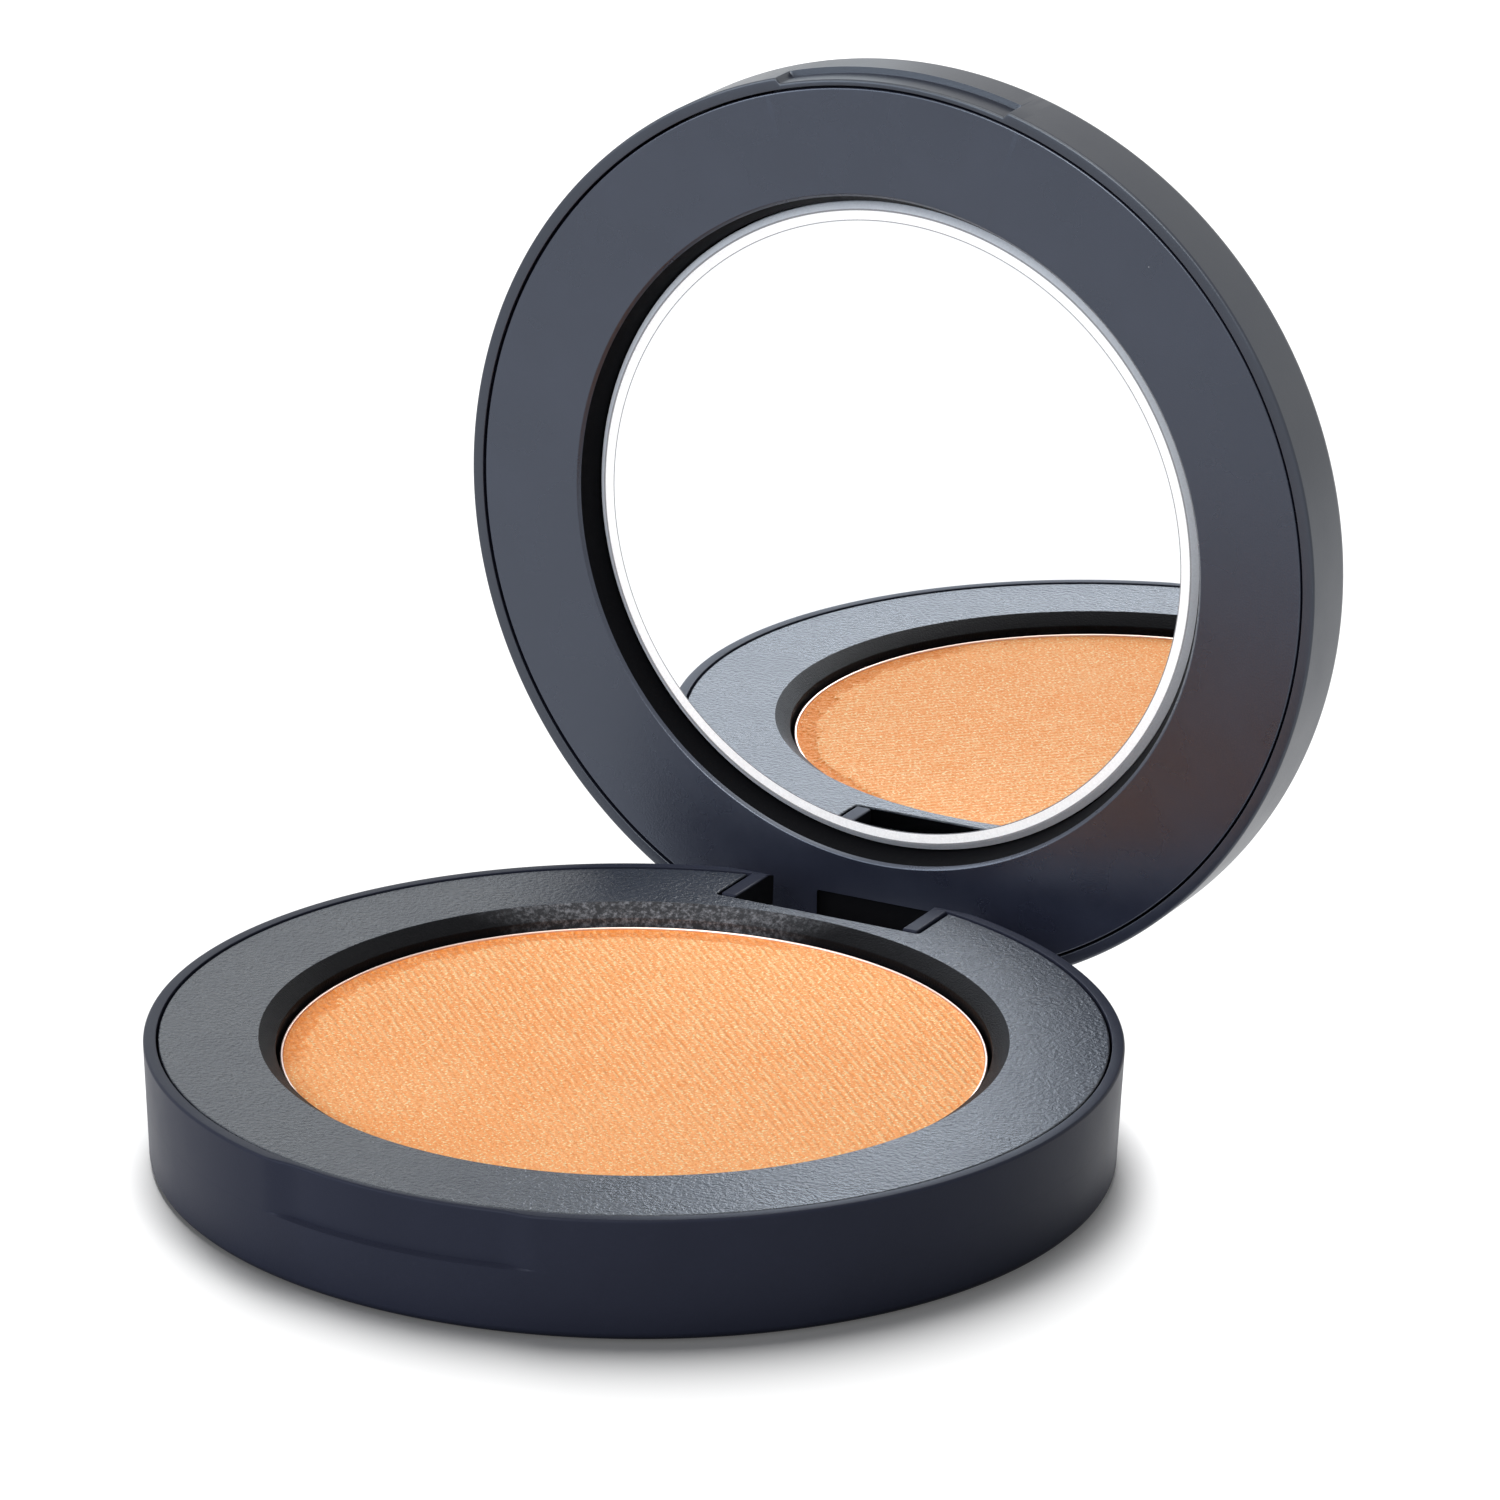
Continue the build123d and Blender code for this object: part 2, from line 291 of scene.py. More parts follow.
def finish_tree(name):
    """A new material with an empty tree, its principled shader and the object's coordinates."""
    made = bpy.data.materials.new(name)
    made.use_nodes = True
    made.node_tree.nodes.clear()
    tree = Tree(made.node_tree)
    shader = tree.node("ShaderNodeBsdfPrincipled")
    out = tree.node("ShaderNodeOutputMaterial")
    tree.tree.links.new(shader.outputs[0], out.inputs[0])
    place = tree.node("ShaderNodeTexCoord").outputs["Object"]
    return made, tree, shader, place


def feed(tree, shader, **sockets):
    for key, value in sockets.items():
        socket = shader.inputs[key.replace("_", " ")]
        if isinstance(value, bpy.types.NodeSocket):
            tree.tree.links.new(value, socket)
        else:
            socket.default_value = value


def bump(tree, height, depth):
    """Normal from a height of 0 to 1 that stands for this depth in metres."""
    return tree.node("ShaderNodeBump", {"Height": height, "Distance": depth, "Strength": 1.0}).outputs[0]


def specks(tree, place, spacing, size, chosen):
    """Mask of small round specks, about one in each cell and only this share of them."""
    cells = tree.node("ShaderNodeTexVoronoi", {"Vector": place, "Scale": 1.0 / spacing})
    near = tree.math("LESS_THAN", cells.outputs["Distance"], size / spacing)
    pick = tree.node("ShaderNodeSeparateColor", {0: cells.outputs["Color"]}).outputs[0]
    return tree.times(near, tree.math("LESS_THAN", pick, chosen))


def plastic(name, base, roughness, grain, depth, scuff, specular, tint=COOL, painted_glint=False):
    """Moulded plastic: fine grain, cloudy colour, faint handling marks and a little dust.
    The glint option paints a highlight: pale glittering specks on the hinge side, where light glances off the
    surface."""
    made, tree, shader, place = finish_tree(name)
    cloud = tree.noise(place, 140.0, 4.0, 0.6)
    marks = tree.noise(tree.vector("MULTIPLY", place, (1.0, 3.0, 1.6)), 900.0, 5.0, 0.72)
    worn = tree.ramp(marks, 0.55, 0.95)
    dust = specks(tree, place, 2.6 * MM, 0.035 * MM, 0.16)
    tone = tree.mix(cloud, rgba(base, 0.86), rgba(base, 1.16))
    tone = tree.mix(tree.times(worn, scuff), tone, rgba(SCUFFED))
    tone = tree.mix(tree.times(dust, 0.55), tone, rgba(DUST))
    # Painted highlight: pale glittering specks on the hinge side stand in for light glancing off the lip.
    if painted_glint:
        side = tree.ramp(tree.dot(place, (-0.42, 0.91, 0.0)), 19.5 * MM, 22.6 * MM)
        glint_specks = tree.ramp(tree.noise(place, 3000.0, 4.0, 0.75), 0.42, 0.72, 0.12, 0.70)
        tone = tree.mix(tree.times(side, glint_specks), tone, rgba(GLINT_PAINT))
    gloss = tree.ramp(cloud, 0.2, 1.2, roughness - 0.05, roughness + 0.10)
    lumps = tree.noise(place, 1.0 / grain, 2.0, 0.55)
    fine = tree.noise(place, 3.1 / grain, 2.0, 0.5)
    height = tree.plus(lumps, tree.times(fine, 0.35))
    feed(tree, shader, Base_Color=tone, Roughness=gloss, Normal=bump(tree, height, depth),
         Specular_IOR_Level=specular, Specular_Tint=tint)
    return made


def powder_finish(name, look, cake):
    """Pressed powder: threads of the cloth with painted shade in their troughs and painted highlight on their
    crests, fine grain, pale shimmer flecks, and the deeper broken edge.
    """
    made, tree, shader, place = finish_tree(name)
    worn = tree.node("ShaderNodeAttribute", attribute_name="crumble").outputs["Fac"]
    c, s = math.cos(cake.cloth_angle), math.sin(cake.cloth_angle)
    along = tree.dot(place, (c, s, 0.0))
    across = tree.dot(place, (-s, c, 0.0))
    wobble = tree.times(tree.noise(place, 420.0, 2.0), 0.45 * MM)
    phase = tree.times(tree.plus(across, wobble), 2 * math.pi / cake.cloth_pitch)
    threads = tree.math("SINE", phase)
    weave = tree.node("ShaderNodeCombineXYZ", {0: tree.times(along, 0.40), 1: across}).outputs[0]
    dashes = tree.ramp(tree.noise(weave, 2100.0, 2.0), 0.34, 0.58)
    back = tree.ramp(tree.node("ShaderNodeSeparateXYZ", {0: place}).outputs[1], -22 * MM, 10 * MM, 0.30, 1.0)
    cloth = tree.times(tree.times(threads, dashes), back)
    slow = tree.noise(place, 260.0, 3.0, 0.6)
    patch = tree.noise(place, 95.0, 3.0, 0.6)
    grain = tree.noise(place, 4300.0, 3.0, 0.65)
    flecks = tree.noise(tree.vector("ADD", place, (0.013, 0.007, 0.0)), 5600.0, 1.0, 0.4)
    tone = tree.mix(slow, rgba(look.powder, 0.95), rgba(look.powder, 1.03))
    tone = tree.mix(tree.ramp(patch, 0.60, 0.38, 0.0, 0.28), tone, rgba(look.powder_deep))
    # Painted shade and highlight of the cloth imprint: darker in the troughs of its lines, paler on their
    # crests.
    tone = tree.mix(tree.ramp(cloth, -0.05, -0.85, 0.0, 0.55), tone, rgba(look.powder_deep))
    tone = tree.mix(tree.ramp(cloth, 0.25, 0.90, 0.0, 0.50), tone, rgba(look.powder_pale))
    tone = tree.mix(tree.ramp(grain, 0.54, 0.36, 0.0, 0.75), tone, rgba(look.powder_deep, 0.93))
    tone = tree.mix(tree.ramp(flecks, 0.56, 0.68, 0.0, 0.95), tone, rgba(look.powder_pale))
    broken = tree.times(tree.ramp(worn, 0.03, 0.50), tree.ramp(grain, 0.60, 0.42, 0.45, 1.0))
    tone = tree.mix(broken, tone, rgba(look.powder_deep, 0.88))
    fine = tree.noise(place, 8000.0, 4.0, 0.7)
    height = tree.plus(tree.plus(fine, grain), tree.times(cloth, 0.35))
    gloss = tree.ramp(flecks, 0.60, 0.74, 0.85, 0.42)
    feed(tree, shader, Base_Color=tone, Roughness=gloss, Normal=bump(tree, height, 0.085 * MM),
         Sheen_Weight=0.12, Sheen_Roughness=0.5, Specular_IOR_Level=0.35)
    return made


def metal(name, base, roughness, stretch, grain, depth):
    """Drawn or brushed metal with fine lines along one direction."""
    made, tree, shader, place = finish_tree(name)
    lines = tree.noise(tree.vector("MULTIPLY", place, stretch), 1.0 / grain, 3.0, 0.6)
    tone = tree.mix(lines, rgba(base, 0.90), rgba(base, 1.0))
    feed(tree, shader, Base_Color=tone, Metallic=1.0,
         Roughness=tree.ramp(lines, 0.2, 0.8, roughness - 0.06, roughness + 0.08),
         Normal=bump(tree, lines, depth))
    return made


def silver_finish(name, look):
    """Silvered glass: clean reflection with a few dust specks and a faint haze."""
    made, tree, shader, place = finish_tree(name)
    dust = specks(tree, place, 2.0 * MM, 0.030 * MM, 0.10)
    haze = tree.noise(place, 90.0, 3.0, 0.6)
    tone = tree.mix(tree.times(dust, 0.5), rgba(look.silver), rgba(MIRROR_DUST))
    gloss = tree.plus(tree.ramp(haze, 0.45, 0.8, 0.0, 0.02), tree.times(dust, 0.5))
    feed(tree, shader, Base_Color=tone, Metallic=1.0, Roughness=gloss)
    return made


def ground_glass(name, base, roughness):
    """Ground edge of the glass: pale, matte and speckled. The same finish makes the dark line, and in white
    the painted reflection of the ground edge in the silver.
    """
    made, tree, shader, place = finish_tree(name)
    speckle = tree.noise(place, 7000.0, 3.0, 0.7)
    tone = tree.mix(speckle, rgba(base, 0.78), rgba(base, 1.12))
    feed(tree, shader, Base_Color=tone,
         Roughness=tree.ramp(speckle, 0.3, 0.7, roughness, roughness + 0.15),
         Normal=bump(tree, speckle, 0.02 * MM))
    return made


def soft_finish(name, base, roughness, grain, depth):
    """Paper, foam tape and other plain matte parts."""
    made, tree, shader, place = finish_tree(name)
    fibre = tree.noise(place, 1.0 / grain, 4.0, 0.65)
    tone = tree.mix(fibre, rgba(base, 0.90), rgba(base, 1.04))
    feed(tree, shader, Base_Color=tone, Roughness=tree.ramp(fibre, 0.2, 0.8, roughness - 0.08, roughness),
         Normal=bump(tree, fibre, depth))
    return made


def finish(name):
    """The named material, made once."""
    if name in bpy.data.materials:
        return bpy.data.materials[name]
    look = bpy.context.scene.compact_finish
    cake = bpy.context.scene.compact_cake
    recipes = {
        # Painted light and shade: one shell plastic in two tunings, lighter and less glossy on the base,
        # darker and glossier on the lid, for how light falls on each.
        "satin_shell": lambda: plastic(name, look.shell, look.shell_gloss, grain=0.13 * MM,
                                       depth=0.006 * MM, scuff=0.03, specular=0.07),
        "lid_shell": lambda: plastic(name, look.lid_shell, 0.36, grain=0.13 * MM,
                                     depth=0.006 * MM, scuff=0.03, specular=0.75),
        "grained_insert": lambda: plastic(name, look.insert, look.insert_gloss, grain=0.30 * MM,
                                          depth=0.110 * MM, scuff=0.005, specular=0.50),
        "fine_insert": lambda: plastic(name, look.lid_insert, 0.30, grain=0.12 * MM,
                                       depth=0.007 * MM, scuff=0.005, specular=0.95, tint=BLUE),
        # Painted shade: the well's sloping wall, part of the insert, takes the near-black lip colour, with a
        # painted highlight on its hinge side.
        "well_lip": lambda: plastic(name, look.lip, 0.50, grain=0.14 * MM,
                                    depth=0.050 * MM, scuff=0.02, specular=0.06, painted_glint=True),
        # Painted shade: near-black finish for the hinge notch, the tongue's window and the wall of the
        # mirror's opening, where shade falls.
        "painted_shade": lambda: plastic(name, look.lip, 0.60, grain=0.14 * MM,
                                      depth=0.010 * MM, scuff=0.01, specular=0.04),
        "pressed_powder": lambda: powder_finish(name, look, cake),
        "pan_tin": lambda: metal(name, look.pan, 0.38, (1.0, 1.0, 6.0), 0.10 * MM, 0.002 * MM),
        "mirror_silver": lambda: silver_finish(name, look),
        "mirror_ground": lambda: ground_glass(name, (0.62, 0.66, 0.72), 0.42),
        "mirror_line": lambda: ground_glass(name, (0.22, 0.23, 0.25), 0.35),
        # Painted reflection: white matte ring on the glass's face for the ground edge's reflection in the
        # silver.
        "painted_edge_reflection": lambda: ground_glass(name, (0.98, 0.99, 1.0), 0.50),
        "pin_steel": lambda: metal(name, (0.62, 0.62, 0.64), 0.30, (1.0, 8.0, 8.0), 0.15 * MM, 0.002 * MM),
        "magnet_nickel": lambda: metal(name, (0.66, 0.67, 0.69), 0.22, (1.0, 1.0, 1.0), 0.08 * MM,
                                       0.001 * MM),
        "adhesive_pad": lambda: soft_finish(name, (0.82, 0.82, 0.80), 0.75, 0.15 * MM, 0.010 * MM),
        "label_paper": lambda: soft_finish(name, (0.86, 0.86, 0.85), 0.70, 0.12 * MM, 0.006 * MM),
    }
    return recipes[name]()


# ---- mesh building ----


def rounded_path(corners, closed):
    """Points through (radius, height, rounding) corners, with each rounding an arc."""
    path = []
    count = len(corners)
    for i, (r, z, rounding) in enumerate(corners):
        if rounding <= 0 or (not closed and i in (0, count - 1)):
            path.append((r, z))
            continue
        here = Vector((r, z))
        before = Vector(corners[i - 1][:2]) - here
        after = Vector(corners[(i + 1) % count][:2]) - here
        half = before.angle(after) / 2
        reach = rounding / math.tan(half)
        centre = here + (before.normalized() + after.normalized()).normalized() * (rounding / math.sin(half))
        start = here + before.normalized() * reach - centre
        turn = start.angle_signed(here + after.normalized() * reach - centre)
        steps = max(3, round(abs(turn) / math.radians(18)))
        for k in range(steps + 1):
            point = centre + Matrix.Rotation(-turn * k / steps, 2) @ start
            path.append((point.x, point.y))
    return path


def angles_with(extra=()):
    """Even steps round the axis from the front, with these angles and their neighbours as well."""
    steps = [2 * math.pi * k / SEGMENTS - math.pi for k in range(SEGMENTS)]
    edge = math.radians(0.35)
    kept = [a for a in steps if all(abs(a - e) > 1.5 * edge for e in extra)]
    fine = [e + edge * k / 4 for e in extra for k in range(-4, 5)]
    return sorted(kept + fine)


def front_mask(turn, half_angle, soft=math.radians(0.3)):
    """1 inside the half angle at the thumb side, 0 outside, with a smooth end."""
    t = min(1.0, max(0.0, (half_angle + soft - abs(turn)) / (2 * soft)))
    return t * t * (3 - 2 * t)


def turned(name, corners, dent=None, extra=(), slots=None):
    """Solid of revolution about Z. Corners are (radius, height, rounding) once round the section.
    A section that starts and ends on the axis closes there. dent(turn, r, z) gives the local radius."""
    open_section = corners[0][0] == 0
    path = rounded_path(corners, not open_section)
    turns = angles_with(extra)
    mesh = bmesh.new()
    rows = []
    for r, z in path:
        if r < 1e-9:
            rows.append([mesh.verts.new((0, 0, z))])
            continue
        row = []
        for turn in turns:
            radius = dent(turn, r, z) if dent else r
            row.append(mesh.verts.new((radius * math.sin(turn), -radius * math.cos(turn), z)))
        rows.append(row)
    pairs = list(zip(rows, rows[1:]))
    if not open_section:
        pairs.append((rows[-1], rows[0]))
    count = len(turns)
    for n, (low, high) in enumerate(pairs):
        for k in range(count):
            after = (k + 1) % count
            ring = [low[k % len(low)], low[after % len(low)], high[after % len(high)], high[k % len(high)]]
            face = mesh.faces.new(list(dict.fromkeys(ring)))
            if slots:
                face.material_index = slots(path[n], path[(n + 1) % len(path)])
    return to_object(name, mesh)


def loft(name, rings):
    """Closed solid through equal rings of points, with flat ends."""
    mesh = bmesh.new()
    rows = [[mesh.verts.new(p) for p in ring] for ring in rings]
    count = len(rows[0])
    for low, high in zip(rows, rows[1:]):
        for k in range(count):
            after = (k + 1) % count
            mesh.faces.new((low[k], low[after], high[after], high[k]))
    mesh.faces.new(rows[0])
    mesh.faces.new(rows[-1])
    return to_object(name, mesh)


def to_object(name, mesh):
    bmesh.ops.recalc_face_normals(mesh, faces=mesh.faces)
    data = bpy.data.meshes.new(name)
    mesh.to_mesh(data)
    mesh.free()
    made = bpy.data.objects.new(name, data)
    bpy.context.scene.collection.objects.link(made)
    return made


def quarter_round():
    """Steps round an edge: shares of its radius to move across it and along it."""
    turns = [math.radians(18 * k) for k in range(6)]
    return [(1 - math.cos(a), 1 - math.sin(a)) for a in turns]


def rounded_box(x0, x1, y0, y1, corner):
    """Outline of a box with round corners, as a function of how far it grows."""
    def outline(grow, z):
        points = []
        radius = max(corner + grow, 0.001 * MM)
        for cx, cy, start in ((x1, y1, 0), (x0, y1, 90), (x0, y0, 180), (x1, y0, 270)):
            inner_x = cx - math.copysign(corner, cx - (x0 + x1) / 2)
            inner_y = cy - math.copysign(corner, cy - (y0 + y1) / 2)
            for k in range(7):
                a = math.radians(start + 15 * k)
                points.append((inner_x + radius * math.cos(a), inner_y + radius * math.sin(a), z))
        return points
    return outline


def pocket_cutter(x0, x1, y0, y1, corner, low, face, flare):
    """Cutter for a straight pocket from low up through a face, with its rim rounded."""
    outline = rounded_box(x0, x1, y0, y1, corner)
    rings = [outline(0, low)]
    rings += [outline(flare * out, face - flare * down) for out, down in quarter_round()]
    rings.append(outline(flare, face + FAR))
    return loft("cutter", rings)


def raised_block(x0, x1, y0, y1, corner, low, top, rounding):
    """Block whose top edges are rounded."""
    outline = rounded_box(x0, x1, y0, y1, corner)
    rings = [outline(0, low)]
    rings += [outline(-rounding * out, top - rounding * down) for out, down in quarter_round()]
    return loft("block", rings)


def rod(radius, half_length, y, z, segments=64):
    """Cylinder along X."""
    rings = []
    for x in (-half_length, half_length):
        rings.append([(x, y + radius * math.cos(2 * math.pi * k / segments),
                       z + radius * math.sin(2 * math.pi * k / segments)) for k in range(segments)])
    return loft("rod", rings)


def offset_outline(points, distance):
    """Closed (y, z) outline moved inwards by a distance; points run anticlockwise."""
    moved = []
    for before, here, after in zip(points[-1:] + points[:-1], points, points[1:] + points[:1]):
        a = (Vector(here) - Vector(before)).normalized()
        b = (Vector(after) - Vector(here)).normalized()
        normal = (Vector((-a.y, a.x)) + Vector((-b.y, b.x))).normalized()
        scale = 1 / max(0.3, normal.dot(Vector((-a.y, a.x))))
        moved.append(Vector(here) + normal * distance * scale)
    return moved


def slab(name, outline, half_width, rounding):
    """Outline in the YZ plane, anticlockwise, made as wide as this along X, with rounded side edges."""
    rings = []
    left = [(-half_width + rounding * out, rounding * down) for out, down in quarter_round()]
    for x, inset in left + [(-x, inset) for x, inset in reversed(left)]:
        rings.append([(x, p.x, p.y) for p in offset_outline(outline, inset)])
    return loft(name, rings)


def evaluated_mesh(piece):
    view = bpy.context.evaluated_depsgraph_get()
    return bpy.data.meshes.new_from_object(piece.evaluated_get(view))


def settle(piece):
    """Puts the result of the piece's modifiers in its own mesh and removes them."""
    data = evaluated_mesh(piece)
    old = piece.data
    piece.modifiers.clear()
    piece.data = data
    data.name = piece.name
    bpy.data.meshes.remove(old)
    return piece


def combine(piece, tool, operation):
    """Exact boolean of piece with tool, which is used up. An empty result isn't noticed."""
    made = piece.modifiers.new("combine", "BOOLEAN")
    made.solver = "EXACT"
    made.operation = operation
    made.object = tool
    settle(piece)
    used = tool.data
    bpy.data.objects.remove(tool)
    bpy.data.meshes.remove(used)
    return piece


def cut(piece, tool):
    return combine(piece, tool, "DIFFERENCE")


def join_solid(piece, tool):
    return combine(piece, tool, "UNION")


def open_lid(piece):
    """Turns a piece drawn closed to where the lid stands open."""
    to_hinge = Matrix.Translation(HINGE_AT)
    turn = to_hinge @ Matrix.Rotation(-math.pi / 2, 4, "X") @ Matrix.Translation(-HINGE_AT)
    piece.data.transform(turn)
    return piece


def clean(piece, sharp=35.0):
    """Merged, smooth shaded, with flat faces kept flat and real corners kept sharp."""
    mesh = bmesh.new()
    mesh.from_mesh(piece.data)
    bmesh.ops.remove_doubles(mesh, verts=mesh.verts, dist=0.002 * MM)
    bmesh.ops.dissolve_degenerate(mesh, edges=mesh.edges, dist=0.001 * MM)
    bmesh.ops.recalc_face_normals(mesh, faces=mesh.faces)
    mesh.to_mesh(piece.data)
    mesh.free()
    piece.data.shade_smooth()
    piece.data.set_sharp_from_angle(angle=math.radians(sharp))
    weighted = piece.modifiers.new("weighted", "WEIGHTED_NORMAL")
    weighted.keep_sharp = True
    return settle(piece)


def darken(piece, low, high):
    """Painted shade: the near-black finish on the faces whose centres lie in this box, where shade falls."""
    piece.data.materials.append(finish("painted_shade"))
    last = len(piece.data.materials) - 1
    for face in piece.data.polygons:
        if all(a < c < b for a, c, b in zip(low, face.center, high)):
            face.material_index = last


def give(piece, body, slot, *names):
    """Materials and body for a finished piece. The slot argument is not used."""
    if not piece.data.materials:
        for name in names:
            piece.data.materials.append(finish(name))
    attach(piece, body)
    return piece


# ---- pieces ----


def front_relief(size):
    """Half angles of the thickened wall inside the thumb recess, for the shell and its insert."""
    return size.recess_angle + math.radians(1.6), size.recess_angle + math.radians(2.0)


class COMPACT_OT_base_shell(bpy.types.Operator):
    """Build the outer shell of the base with its thumb recess and hinge ears"""

    bl_idname = "compact.base_shell"
    bl_label = "Base shell"

    def execute(self, context):
        size = context.scene.compact_sizes
        ledge = size.base_height - size.recess_below
        inside = size.rim_radius - size.wall
        backing = front_relief(size)[0]
        backing_top = size.base_height - size.backing_drop

        def dent(turn, r, z):
            if r > size.rim_radius - 2 * size.rim_round - 0.2 * MM and z > ledge:
                depth = size.recess_depth * min(1.0, (z - ledge) / (0.10 * MM))
                return r - depth * front_mask(turn, size.recess_angle, size.recess_soft)
            if abs(r - inside) < 0.1 * MM and size.floor - 0.1 * MM < z < backing_top:
                return r - size.recess_depth * front_mask(turn, backing)
            return r

        foot = size.rim_radius - size.foot_taper
        slope = size.foot_taper / size.base_height
        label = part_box("underside_label")[1]
        corners = [
            (0, label.z, 0), (label.x + 0.1 * MM, label.z, 0), (label.x + 0.1 * MM, 0, 0.05 * MM),
            (foot, 0, size.foot_round),
            (foot + slope * ledge, ledge, 0), (foot + slope * ledge, ledge + 0.02 * MM, 0),
            (foot + slope * ledge, ledge + 0.06 * MM, 0), (foot + slope * ledge, ledge + 0.10 * MM, 0),
            (size.rim_radius, size.base_height, size.rim_round),
            (inside, size.base_height, 0.05 * MM), (inside, backing_top, 0),
            (inside, backing_top - 0.02 * MM, 0), (inside, size.floor, 0), (0, size.floor, 0)]
        shell = turned("base_shell_visible", corners, dent)
        ear_inner = size.tongue_width + size.ear_gap
        ear_outer = ear_inner + size.ear_thickness
        front = size.lip_radius + size.notch_strip + size.ear_groove
        for side in (-1, 1):
            x0, x1 = sorted((side * ear_inner, side * ear_outer))
            ear = raised_block(x0, x1, front, size.rim_radius - 1.15 * MM, 0.2 * MM, size.floor - 0.3 * MM,
                               size.base_height - HAIR, 0.16 * MM)
            join_solid(shell, ear)
        cut(shell, pocket_cutter(-ear_inner, ear_inner, front, size.rim_radius + 10 * MM, 0.05 * MM,
                                 size.floor + HAIR, size.base_height, 0.10 * MM))
        y, z = HINGE_AT.y, HINGE_AT.z
        swing = size.base_height + size.rim_gap - z - 0.1 * MM
        outline = [(y, z + swing)]
        outline += [(y + swing * math.sin(math.radians(3 * k)), z + swing * math.cos(math.radians(3 * k)))
                    for k in range(1, 31)]
        outline += [(y + FAR, z), (y + FAR, z + FAR), (y, z + FAR)]
        cut(shell, loft("sweep", [[(x, p[0], p[1]) for p in outline] for x in (-2 * FAR, 2 * FAR)]))
        cut(shell, rod(EAR_BORE, ear_outer, y, z))
        shell.data.materials.append(finish("satin_shell"))
        clean(shell)
        inner = ear_inner + 0.05 * MM
        # Painted shade on the faces inside the hinge notch.
        darken(shell, (-inner, front, size.floor), (inner, size.rim_radius, size.base_height - 0.12 * MM))
        give(shell, "base", "shell")
        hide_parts("base_shell")
        return {"FINISHED"}


class COMPACT_OT_base_insert(bpy.types.Operator):
    """Build the grained ring around the pan, with its lip, well and hinge notch"""

    bl_idname = "compact.base_insert"
    bl_label = "Base insert"

    def execute(self, context):
        size = context.scene.compact_sizes
        face = size.base_height - size.insert_recess
        outer = size.rim_radius - size.wall - size.groove
        well = size.lip_radius - size.lip_slope
        relief = front_relief(size)[1]
        plate = face - 1.2 * MM
        foot = face - size.lip_drop
        under = size.well_floor - 0.9 * MM
        step = size.base_height - size.backing_drop + RELIEF_STEP

        def dent(turn, r, z):
            if r > outer - 0.3 * MM and z < step + HAIR:
                return r - size.recess_depth * front_mask(turn, relief)
            return r

        corners = [
            (0, under, 0), (well + WELL_WALL, under, 0), (well + WELL_WALL, plate - WELL_FILLET, 0),
            (well + 1.45 * MM, plate, 0), (outer - PLATE_LEG, plate, 0), (outer - PLATE_LEG, size.floor, 0),
            (outer, size.floor, 0), (outer, step, 0), (outer, step + 0.02 * MM, 0),
            (outer, face, size.insert_round),
            (size.lip_radius, face, size.insert_round), (well, foot, 0.08 * MM),
            (well, size.well_floor, 0), (0, size.well_floor, 0)]

        def slots(here, after):
            low = max(here[1], after[1]) < face - 0.005 * MM
            return 1 if low and max(here[0], after[0]) < size.lip_radius + HAIR else 0

        ring = turned("base_insert_visible", corners, dent, [-relief, relief], slots)
        ring.data.materials.append(finish("grained_insert"))
        ring.data.materials.append(finish("well_lip"))
        half = size.tongue_width + size.ear_gap + size.ear_thickness + size.ear_groove
        front = size.lip_radius + size.notch_strip
        cut(ring, pocket_cutter(-half, half, front, size.rim_radius + 10 * MM, 0.25 * MM, 0.5 * MM, face,
                                0.12 * MM))
        clean(ring)
        # Painted shade on the faces of the insert's hinge notch.
        darken(ring, (-half - HAIR, front - HAIR, 0), (half + HAIR, outer, face - 0.13 * MM))
        give(ring, "base", "insert")
        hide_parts("base_insert")
        return {"FINISHED"}


class COMPACT_OT_lid_shell(bpy.types.Operator):
    """Build the outer shell of the lid with its half of the thumb recess"""

    bl_idname = "compact.lid_shell"
    bl_label = "Lid shell"

    def execute(self, context):
        size = context.scene.compact_sizes
        rim = size.base_height + size.rim_gap
        outside = rim + size.lid_thickness
        inner_face = outside - size.lid_top
        inside = size.rim_radius - size.wall
        ledge = rim + size.recess_above
        backing = front_relief(size)[0]
        backing_low = rim + size.backing_drop

        def dent(turn, r, z):
            if r > size.rim_radius - 2 * size.rim_round - 0.05 * MM and z < ledge - HAIR:
                return r - size.recess_depth * front_mask(turn, size.recess_angle)
            if abs(r - inside) < 0.1 * MM and backing_low < z < inner_face + 0.1 * MM:
                return r - size.recess_depth * front_mask(turn, backing)
            return r

        corners = [
            (0, inner_face, 0), (inside, inner_face, 0), (inside, backing_low + 0.02 * MM, 0),
            (inside, backing_low, 0), (inside, rim, 0.05 * MM), (size.rim_radius, rim, size.rim_round),
            (size.rim_radius, ledge - 0.06 * MM, 0), (size.rim_radius, ledge, 0),
            (size.rim_radius, outside, size.lid_round), (0, outside, 0)]
        ends = [s * a for s in (-1, 1) for a in (size.recess_angle, backing)]
        shell = turned("lid_shell_visible", corners, dent, ends)
        clean(open_lid(shell))
        give(shell, "lid", "shell", "lid_shell")
        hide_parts("lid_shell")
        return {"FINISHED"}


